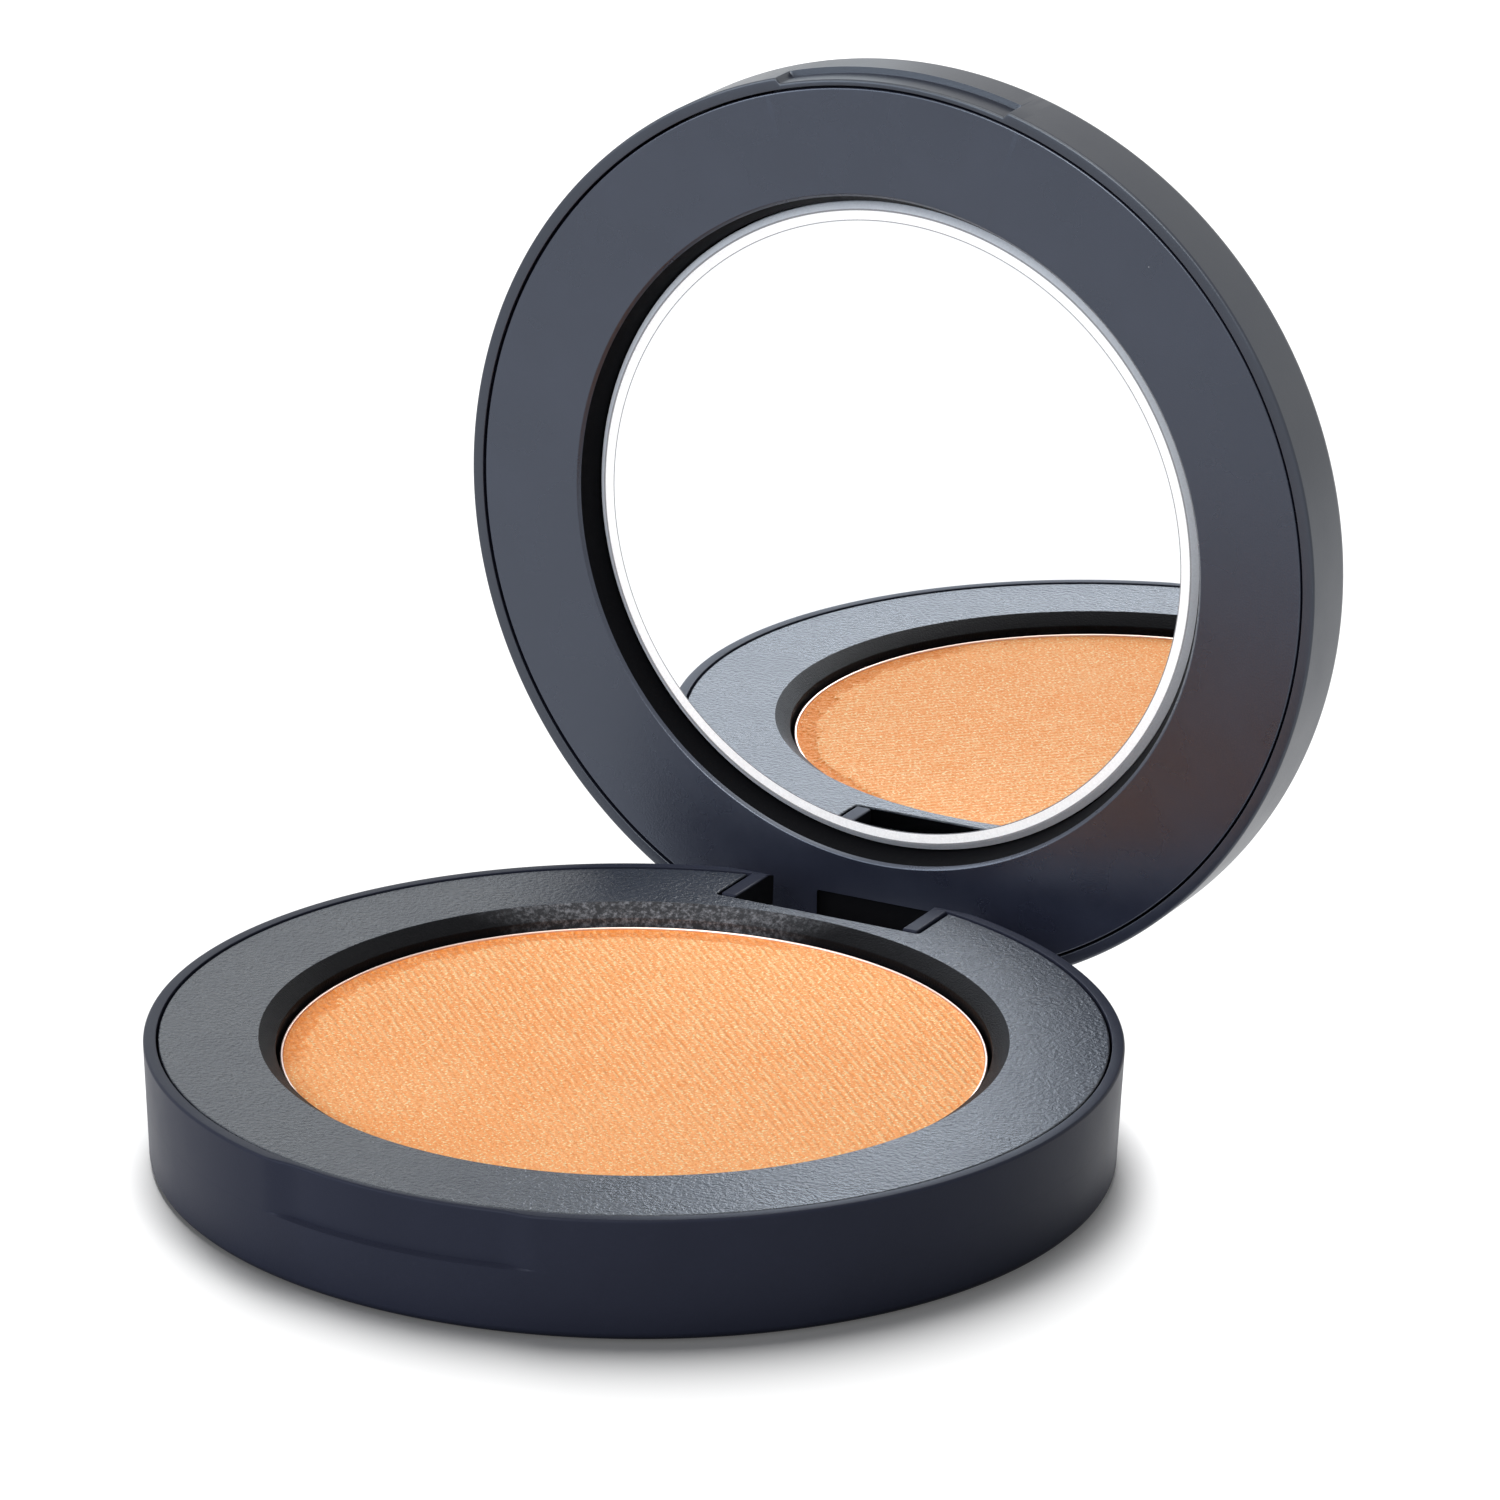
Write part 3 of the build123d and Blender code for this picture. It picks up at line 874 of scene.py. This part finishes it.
class COMPACT_OT_lid_insert(bpy.types.Operator):
    """Build the ring around the mirror; the hinge tongue it joins comes out empty"""

    bl_idname = "compact.lid_insert"
    bl_label = "Lid insert"

    def execute(self, context):
        size = context.scene.compact_sizes
        rim = size.base_height + size.rim_gap
        face = rim + size.insert_recess
        inner_face = rim + size.lid_thickness - size.lid_top
        outer = size.rim_radius - size.wall - size.groove
        glass = face + size.mirror_depth
        seat = glass + size.mirror_glass + 0.2 * MM
        pocket = MIRROR_RADIUS + MIRROR_PLAY
        opening = pocket + 0.55 * MM
        plate = face + 1.0 * MM
        relief = front_relief(size)[1]
        step = rim + size.backing_drop - RELIEF_STEP

        def dent(turn, r, z):
            if r > outer - 0.3 * MM and z > step - HAIR:
                return r - size.recess_depth * front_mask(turn, relief)
            return r

        corners = [
            (0, seat, 0), (pocket, seat, 0), (pocket, glass, 0), (opening, face + 0.2 * MM, 0.10 * MM),
            (opening + 0.2 * MM, face, 0.14 * MM), (outer, face, size.insert_round),
            (outer, step - 0.02 * MM, 0), (outer, step, 0), (outer, inner_face, 0),
            (outer - PLATE_LEG, inner_face, 0), (outer - PLATE_LEG, plate, 0),
            (pocket + 1.45 * MM, plate, 0), (pocket + WELL_WALL, plate + WELL_FILLET, 0),
            (pocket + WELL_WALL, inner_face, 0), (0, inner_face, 0)]

        def slots(here, after):
            deep = min(here[1], after[1]) > face + 0.12 * MM
            return 1 if deep and max(here[0], after[0]) < opening + HAIR else 0

        ring = turned("lid_insert_visible", corners, dent, [-relief, relief], slots)
        ring.data.materials.append(finish("fine_insert"))
        # Painted shade: the wall of the mirror's opening takes the near-black finish.
        ring.data.materials.append(finish("painted_shade"))
        y, z = HINGE_AT.y, HINGE_AT.z
        front = y - TONGUE_REACH
        back = y + z - size.floor - STOP_GAP
        root = face + 0.2 * MM
        mouth_top = face + 0.35 * MM
        side = [(front, root, 0), (front, z, 1.2 * MM), (y - BARREL, z - BARREL, 1.0 * MM),
                (y, z - BARREL, 0.2 * MM), (back, z + 0.4 * MM, 0.2 * MM), (back, rim - 0.5 * MM, 0.1 * MM),
                (outer - 0.6 * MM, root, 0)]
        tongue = slab("tongue", [Vector(p) for p in rounded_path(side, True)], size.tongue_width, 0.12 * MM)
        half = WINDOW_HALF
        window_end = front + WINDOW_DEPTH
        window = rounded_box(-half, half, front - 5 * MM, window_end, 0.15 * MM)
        cut(tongue, loft("window", [window(0, mouth_top - 1.7 * MM), window(0, root + 5 * MM)]))
        mouth = rounded_box(-half, half, front, window_end, 0.15 * MM)
        cut(ring, loft("mouth", [mouth(0, 0), mouth(0, mouth_top)]))
        # Known fault: this cut leaves an empty mesh, so the visible ring has no tongue.
        cut(tongue, rod(TONGUE_BORE, size.tongue_width + 1 * MM, y, z))
        join_solid(ring, tongue)
        clean(ring)
        # Painted shade in the tongue's window and the ring's mouth.
        darken(ring, (-half - HAIR, front + HAIR, face - 1.5 * MM),
               (half + HAIR, window_end + HAIR, mouth_top + HAIR))
        open_lid(ring)
        give(ring, "lid", "insert")
        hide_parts("lid_insert")
        return {"FINISHED"}


class COMPACT_OT_mirror(bpy.types.Operator):
    """Build the round mirror with its ground edge"""

    bl_idname = "compact.mirror"
    bl_label = "Mirror"

    def execute(self, context):
        size = context.scene.compact_sizes
        face = size.base_height + size.rim_gap + size.insert_recess + size.mirror_depth
        back = face + size.mirror_glass
        flat = MIRROR_RADIUS - size.mirror_ground
        line = flat - size.mirror_line
        echo = line - size.painted_edge_reflection
        inner = echo - size.mirror_line / 2
        corners = [
            (0, face, 0), (inner, face, 0), (echo, face, 0), (line, face, 0), (flat, face, 0),
            (MIRROR_RADIUS, face + size.mirror_ground, 0), (MIRROR_RADIUS, back, 0), (0, back, 0)]

        def slots(here, after):
            reach = max(here[0], after[0])
            if min(here[1], after[1]) > face + HAIR or reach > flat + HAIR:
                return 1
            if reach > line + HAIR:
                return 2
            # Painted reflection of the ground edge between echo and line, with a thin dark ring inside it.
            if reach > echo + HAIR:
                return 3
            return 2 if reach > inner + HAIR else 0

        mirror = turned("mirror_glass", corners, slots=slots)
        for name in ("mirror_silver", "mirror_ground", "mirror_line", "painted_edge_reflection"):
            mirror.data.materials.append(finish(name))
        clean(open_lid(mirror), 20.0)
        give(mirror, "lid", "mirror")
        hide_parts("mirror")
        return {"FINISHED"}


class COMPACT_OT_pan(bpy.types.Operator):
    """Build the sheet metal pan"""

    bl_idname = "compact.pan"
    bl_label = "Pan"

    def execute(self, context):
        size = context.scene.compact_sizes
        inside = PAN_RADIUS - size.pan_gauge
        corners = [
            (0, PAN_BOTTOM, 0), (PAN_RADIUS, PAN_BOTTOM, 0.5 * MM), (PAN_RADIUS, PAN_RIM, 0.10 * MM),
            (inside, PAN_RIM, 0.08 * MM), (inside, PAN_BOTTOM + size.pan_gauge, 0.1 * MM),
            (0, PAN_BOTTOM + size.pan_gauge, 0)]
        pan = turned("powder_pan_visible", corners)
        clean(pan)
        give(pan, "base", "pan_metal", "pan_tin")
        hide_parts("powder_pan")
        return {"FINISHED"}


def geometry_group(name, inputs):
    """Geometry tree with these named inputs, and their socket identifiers by name."""
    group = bpy.data.node_groups.new(name, "GeometryNodeTree")
    ids = {}
    group.interface.new_socket(name="Geometry", in_out="INPUT", socket_type="NodeSocketGeometry")
    for key, kind, value in inputs:
        socket = group.interface.new_socket(name=key, in_out="INPUT", socket_type=kind)
        socket.default_value = value
        ids[key] = socket.identifier
    group.interface.new_socket(name="Geometry", in_out="OUTPUT", socket_type="NodeSocketGeometry")
    return group, ids


def painted_output(tree, geometry):
    """Ends a geometry tree with the powder's material."""
    painted = tree.node("GeometryNodeSetMaterial", {"Geometry": geometry,
                                                    "Material": finish("pressed_powder")})
    tree.node("NodeGroupOutput", {0: painted.outputs[0]})


def run_geometry(piece, tree, values):
    """Runs a geometry tree on the piece with these values by socket identifier, as a plain mesh."""
    made = piece.modifiers.new(tree.name, "NODES")
    made.node_group = tree
    for identifier, value in values.items():
        made[identifier] = value
    return settle(piece)


def cake_relief_tree(cake, radius):
    """Geometry tree that presses the cloth imprint, slow waves and the crumbled edge into the cake."""
    values = {"Pitch": cake.cloth_pitch, "Imprint": cake.cloth_depth, "Direction": cake.cloth_angle,
              "Swell": cake.swell, "Crumble Width": cake.crumble_width,
              "Crumble Depth": cake.crumble_depth, "Radius": radius, "Top": CAKE_TOP}
    group, ids = geometry_group("cake_relief", [(name, "NodeSocketFloat", value)
                                                for name, value in values.items()])
    tree = Tree(group)
    given = tree.node("NodeGroupInput").outputs
    place = tree.node("GeometryNodeInputPosition").outputs[0]
    parts = tree.node("ShaderNodeSeparateXYZ", {0: place}).outputs
    across = tree.minus(tree.times(parts[1], tree.math("COSINE", given["Direction"])),
                       tree.times(parts[0], tree.math("SINE", given["Direction"])))
    wobble = tree.times(tree.noise(place, 500.0, 2.0), 0.35 * MM)
    phase = tree.math("DIVIDE", tree.plus(across, wobble), given["Pitch"])
    wave = tree.math("SINE", tree.times(phase, 2 * math.pi))
    broken = tree.ramp(tree.noise(place, 1500.0, 2.0), 0.36, 0.62, 0.25, 1.0)
    back = tree.ramp(parts[1], -20 * MM, 12 * MM, 0.35, 1.0)
    cloth = tree.times(tree.times(wave, broken), back)
    slow = tree.minus(tree.noise(place, 90.0, 2.0), 0.5)
    reach = tree.vector("LENGTH", tree.node("ShaderNodeCombineXYZ", {0: parts[0], 1: parts[1]}).outputs[0],
                        out="Value")
    inset = tree.minus(given["Radius"], reach)
    ragged = tree.times(tree.noise(place, 700.0, 3.0, 0.65), given["Crumble Width"])
    edge = tree.ramp(tree.minus(inset, ragged), 0.15 * MM, -0.10 * MM)
    left = tree.minus(tree.times(parts[1], 0.45), tree.times(parts[0], 0.9))
    side = tree.ramp(tree.math("DIVIDE", left, given["Radius"]), 0.30, 0.80)
    crumble = tree.times(edge, tree.math("MAXIMUM", side, 0.12))
    rough = tree.ramp(tree.noise(place, 2600.0, 2.0), 0.3, 0.7, 0.35, 1.0)
    height = tree.plus(tree.times(cloth, given["Imprint"]),
                       tree.times(slow, given["Swell"]))
    loss = tree.times(tree.times(crumble, rough), given["Crumble Depth"])
    height = tree.minus(height, loss)
    free = tree.ramp(inset, 0.0, 0.25 * MM)
    height = tree.times(height, free)
    lift = tree.node("ShaderNodeCombineXYZ", {2: height}).outputs[0]
    on_top = tree.math("GREATER_THAN", parts[2], tree.minus(given["Top"], 0.03 * MM))
    moved = tree.node("GeometryNodeSetPosition", {"Geometry": given["Geometry"], "Selection": on_top,
                                                  "Offset": lift})
    stored = tree.node("GeometryNodeStoreNamedAttribute", {"Geometry": moved.outputs[0], "Name": "crumble",
                                                           "Value": crumble},
                       data_type="FLOAT", domain="POINT")
    painted_output(tree, stored.outputs[0])
    return group, {ids[name]: value for name, value in values.items()}


def crumb_tree():
    """Geometry tree that scatters loose grains over the surface it is given."""
    group, ids = geometry_group("loose_grains", [
        ("Density", "NodeSocketFloat", 1.0), ("Grain", "NodeSocketFloat", GRAIN_SIZE),
        ("Seed", "NodeSocketInt", GRAIN_SEED)])
    tree = Tree(group)
    given = tree.node("NodeGroupInput").outputs
    spread = tree.node("GeometryNodeDistributePointsOnFaces", {"Mesh": given["Geometry"],
                                                               "Density": given["Density"],
                                                               "Seed": given["Seed"]})
    grain = tree.node("GeometryNodeMeshIcoSphere", {"Radius": given["Grain"], "Subdivisions": 1})
    turn = tree.node("FunctionNodeRandomValue", {0: (0.0, 0.0, 0.0), 1: (6.28, 6.28, 6.28)},
                     data_type="FLOAT_VECTOR")
    scale = tree.node("FunctionNodeRandomValue", {0: (0.35, 0.35, 0.25), 1: (1.3, 1.1, 0.9)},
                      data_type="FLOAT_VECTOR")
    placed = tree.node("GeometryNodeInstanceOnPoints", {"Points": spread.outputs[0],
                                                        "Instance": grain.outputs[0],
                                                        "Rotation": turn.outputs[0],
                                                        "Scale": scale.outputs[0]})
    real = tree.node("GeometryNodeRealizeInstances", {0: placed.outputs[0]})
    painted_output(tree, real.outputs[0])
    return group, ids


def disc_grid(name, radius, top, bottom, cells):
    """Solid disc whose top is an even grid of quads out to a round edge."""
    mesh = bmesh.new()
    verts = {}
    for i in range(cells + 1):
        for k in range(cells + 1):
            u, v = 2 * i / cells - 1, 2 * k / cells - 1
            x = u * math.sqrt(1 - v * v / 2)
            y = v * math.sqrt(1 - u * u / 2)
            verts[i, k] = mesh.verts.new((radius * x, radius * y, top))
    for i in range(cells):
        for k in range(cells):
            mesh.faces.new((verts[i, k], verts[i + 1, k], verts[i + 1, k + 1], verts[i, k + 1]))
    border = [verts[i, 0] for i in range(cells)] + [verts[cells, k] for k in range(cells)]
    border += [verts[i, cells] for i in range(cells, 0, -1)] + [verts[0, k] for k in range(cells, 0, -1)]
    below = [mesh.verts.new((p.co.x, p.co.y, bottom)) for p in border]
    count = len(border)
    for k in range(count):
        after = (k + 1) % count
        mesh.faces.new((border[after], border[k], below[k], below[after]))
    centre = mesh.verts.new((0, 0, bottom))
    for k in range(count):
        mesh.faces.new((below[(k + 1) % count], below[k], centre))
    return to_object(name, mesh)


class COMPACT_OT_cake(bpy.types.Operator):
    """Build the pressed powder with its cloth imprint, broken edge and loose grains"""

    bl_idname = "compact.cake"
    bl_label = "Pressed powder"

    def execute(self, context):
        size = context.scene.compact_sizes
        cake = context.scene.compact_cake
        radius = PAN_RADIUS - size.pan_gauge - 0.02 * MM
        powder = disc_grid("powder_cake", radius, CAKE_TOP - 0.02 * MM, PAN_BOTTOM + size.pan_gauge,
                           CAKE_CELLS)
        tree, values = cake_relief_tree(cake, radius)
        run_geometry(powder, tree, values)
        powder.data.shade_smooth()
        powder.data.set_sharp_from_angle(angle=math.radians(60))
        give(powder, "base", "powder")
        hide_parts("pressed_powder")
        inner, outer = radius - 0.9 * MM, radius - 0.1 * MM
        strip = turned("loose_grains", [(inner, CAKE_TOP, 0), (outer, CAKE_TOP, 0),
                                        (outer, CAKE_TOP - HAIR, 0), (inner, CAKE_TOP - HAIR, 0)])
        tree, ids = crumb_tree()
        area = 2 * math.pi * radius * 0.8 * MM * 2
        run_geometry(strip, tree, {ids["Density"]: cake.crumbs / area, ids["Grain"]: GRAIN_SIZE,
                                   ids["Seed"]: GRAIN_SEED})
        give(strip, "base", "powder")
        return {"FINISHED"}


class COMPACT_OT_hidden_parts(bpy.types.Operator):
    """Give the pin, magnets, pads and label their materials"""

    bl_idname = "compact.hidden_parts"
    bl_label = "Pin, magnets, pads and label"

    def execute(self, context):
        wanted = {
            "hinge_pin": "pin_steel", "base_magnet": "magnet_nickel", "lid_magnet": "magnet_nickel",
            "pan_adhesive": "adhesive_pad", "mirror_adhesive": "adhesive_pad",
            "underside_label": "label_paper"}
        for node, name in wanted.items():
            data = frame["nodes"][node].data
            data.materials.clear()
            data.materials.append(finish(name))
        return {"FINISHED"}


# ---- studio ----

# Lamps on the object: name, place, size, watts, tint.
LAMPS = (
    ("left", (-0.45, -0.30, 0.35), (0.30, 0.30), 1.2, (0.90, 0.94, 1.0)),
    ("front", (0.0, -0.60, 0.40), (0.30, 0.30), 2.5, (1.0, 0.97, 0.94)),
    ("low_front", (-0.20, -0.51, 0.19), (0.46, 0.28), 1.15, (0.76, 0.86, 1.0)),
    ("top", (0.0, -0.10, 0.60), (0.40, 0.40), 1.7, (1.0, 0.96, 0.88)),
    ("back", (-0.35, 0.40, 0.30), (0.30, 0.30), 0.30, (0.80, 0.92, 1.0)))
MIDDLE = (0.0, 0.0, 0.02)
FLOOR_RADIUS = 4.0


def area_light(name, place, target, size, watts, tint):
    lamp = bpy.data.lights.new(name, "AREA")
    lamp.shape = "RECTANGLE"
    lamp.size, lamp.size_y = size
    lamp.energy = watts
    lamp.color = tint
    made = bpy.data.objects.new(name, lamp)
    made.location = place
    aim = Vector(target) - Vector(place)
    made.rotation_euler = aim.to_track_quat("-Z", "Y").to_euler()
    bpy.context.scene.collection.objects.link(made)
    return made


def light_group(name, pieces, state):
    """Collection that names the pieces a lamp lights, spares or is blocked by."""
    group = bpy.data.collections.new(name)
    for piece in pieces:
        group.objects.link(piece)
    for entry in group.collection_objects:
        entry.light_linking.link_state = state
    return group


def floor_finish():
    """White paper with a faint glow that only a camera or a reflection sees."""
    made = bpy.data.materials.new("studio_floor")
    made.use_nodes = True
    made.node_tree.nodes.clear()
    tree = Tree(made.node_tree)
    paper = tree.node("ShaderNodeBsdfDiffuse", {"Color": (0.80, 0.80, 0.80, 1.0)})
    glow = tree.node("ShaderNodeEmission", {"Color": WHITE, "Strength": 0.08})
    none = tree.node("ShaderNodeEmission", {"Strength": 0.0})
    picked = tree.node("ShaderNodeMixShader", {0: tree.seen_directly(), 1: none.outputs[0],
                                               2: glow.outputs[0]})
    both = tree.node("ShaderNodeAddShader", {0: paper.outputs[0], 1: picked.outputs[0]})
    tree.node("ShaderNodeOutputMaterial", {0: both.outputs[0]})
    return made


class COMPACT_OT_stage(bpy.types.Operator):
    """Build the floor, lights, surround and camera"""

    bl_idname = "compact.stage"
    bl_label = "Stage"

    def execute(self, context):
        scene = context.scene
        studio = scene.compact_studio
        mesh = bmesh.new()
        bmesh.ops.create_circle(mesh, cap_ends=True, segments=96, radius=FLOOR_RADIUS)
        floor = to_object("studio_floor", mesh)
        floor.data.transform(Matrix.Translation((0, 0, -0.02 * MM)))
        floor.data.materials.append(floor_finish())
        world = bpy.data.worlds.new("surround")
        scene.world = world
        world.use_nodes = True
        world.node_tree.nodes.clear()
        tree = Tree(world.node_tree)
        soft = tree.node("ShaderNodeBackground", {"Color": (0.92, 0.96, 1.0, 1.0),
                                                  "Strength": studio.world_light})
        white = tree.node("ShaderNodeBackground", {"Color": WHITE, "Strength": 1.0})
        mixed = tree.node("ShaderNodeMixShader", {0: tree.seen_directly(), 1: soft.outputs[0],
                                                  2: white.outputs[0]})
        tree.node("ShaderNodeOutputWorld", {0: mixed.outputs[0]})
        spared = light_group("all_but_floor", [floor], "EXCLUDE")
        for name, place, panel, watts, tint in LAMPS:
            lamp = area_light(name, place, MIDDLE, panel, watts, tint)
            lamp.light_linking.receiver_collection = spared
        overhead = area_light("floor_light", (-0.36, 0.44, 1.06), (0.0, 0.0, 0.0), (0.5, 1.1),
                              studio.floor_light, (1.0, 1.0, 1.0))
        overhead.light_linking.receiver_collection = light_group("floor_only", [floor], "INCLUDE")
        base = [bpy.data.objects["base_shell_visible"]]
        overhead.light_linking.blocker_collection = light_group("floor_shade", base, "INCLUDE")
        lens = bpy.data.cameras.new("camera")
        lens.sensor_width = 36.0
        lens.lens = studio.lens
        lens.clip_start, lens.clip_end = 0.01, 20.0
        camera = bpy.data.objects.new("camera", lens)
        scene.collection.objects.link(camera)
        az, el = studio.azimuth, studio.elevation
        back = Vector((math.sin(az) * math.cos(el), -math.cos(az) * math.cos(el), math.sin(el)))
        right = (-back).cross(Vector((0, 0, 1))).normalized()
        up = right.cross(-back)
        c, s = math.cos(studio.roll), math.sin(studio.roll)
        turn = Matrix((right * c + up * s, up * c - right * s, back)).transposed()
        camera.matrix_world = Matrix.Translation(studio.place) @ turn.to_4x4()
        scene.camera = camera
        scene.view_settings.view_transform = "Standard"
        return {"FINISHED"}


class COMPACT_PT_panel(bpy.types.Panel):
    """Builders of the compact's pieces"""

    bl_label = "Powder compact"
    bl_idname = "COMPACT_PT_panel"
    bl_space_type = "VIEW_3D"
    bl_region_type = "UI"
    bl_category = "Compact"

    def draw(self, context):
        for operator in OPERATORS:
            self.layout.operator(operator.bl_idname)
        for group in GROUPS:
            box = self.layout.box()
            for name in GROUPS[group].__annotations__:
                box.prop(getattr(context.scene, group), name)


OPERATORS = (COMPACT_OT_base_shell, COMPACT_OT_base_insert, COMPACT_OT_pan, COMPACT_OT_cake,
             COMPACT_OT_lid_shell, COMPACT_OT_lid_insert, COMPACT_OT_mirror, COMPACT_OT_hidden_parts,
             COMPACT_OT_stage)
GROUPS = {"compact_sizes": CompactSizes, "compact_cake": CakeSettings, "compact_finish": CompactFinish,
          "compact_studio": StudioSettings}


def register():
    for made in (*GROUPS.values(), *OPERATORS, COMPACT_PT_panel):
        bpy.utils.register_class(made)
    for name, group in GROUPS.items():
        setattr(bpy.types.Scene, name, bpy.props.PointerProperty(type=group))


def unregister():
    for name in GROUPS:
        delattr(bpy.types.Scene, name)
    for made in reversed((*GROUPS.values(), *OPERATORS, COMPACT_PT_panel)):
        bpy.utils.unregister_class(made)


def main():
    register()
    for operator in OPERATORS:
        group, name = operator.bl_idname.split(".")
        getattr(getattr(bpy.ops, group), name)()


if __name__ == "__main__":
    main()
